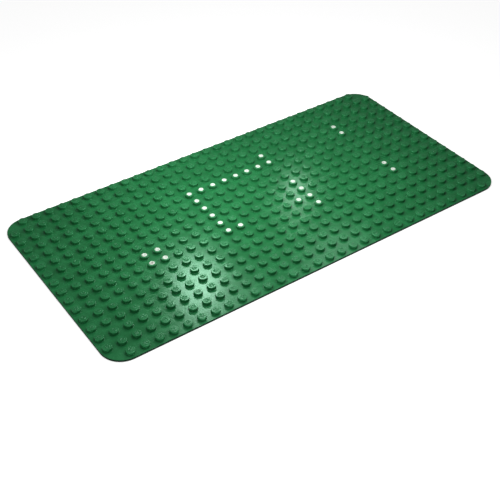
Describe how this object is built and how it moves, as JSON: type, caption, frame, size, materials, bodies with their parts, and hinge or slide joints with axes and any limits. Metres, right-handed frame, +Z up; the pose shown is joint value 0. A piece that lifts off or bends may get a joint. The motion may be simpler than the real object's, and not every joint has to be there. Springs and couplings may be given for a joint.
{
  "type": "studded building baseplate",
  "caption": "Thin green rectangular baseplate of a construction toy, with rounded corners, a square grid of round studs and white printed guide dots.",
  "frame": {"origin": "centre of the flat underside", "axes": "+X along the long side, +Y along the short side, +Z up out of the studs"},
  "size_m": [0.256, 0.128, 0.003],
  "materials": {
    "plate_plastic": "moulded dark green plastic with a satin gloss and light handling wear",
    "dot_ink": "printed white ink, slightly worn"
  },
  "bodies": {
    "root": {"baseplate": "plate_plastic", "guide_dot_01": "dot_ink", "guide_dot_02": "dot_ink", "guide_dot_03": "dot_ink", "guide_dot_04": "dot_ink", "guide_dot_05": "dot_ink", "guide_dot_06": "dot_ink", "guide_dot_07": "dot_ink", "guide_dot_08": "dot_ink", "guide_dot_09": "dot_ink", "guide_dot_10": "dot_ink", "guide_dot_11": "dot_ink", "guide_dot_12": "dot_ink", "guide_dot_13": "dot_ink", "guide_dot_14": "dot_ink", "guide_dot_15": "dot_ink", "guide_dot_16": "dot_ink", "guide_dot_17": "dot_ink", "guide_dot_18": "dot_ink", "guide_dot_19": "dot_ink", "guide_dot_20": "dot_ink", "guide_dot_21": "dot_ink", "guide_dot_22": "dot_ink", "guide_dot_23": "dot_ink", "guide_dot_24": "dot_ink", "guide_dot_25": "dot_ink", "guide_dot_26": "dot_ink", "guide_dot_27": "dot_ink", "guide_dot_28": "dot_ink"}
  },
  "joints": []
}
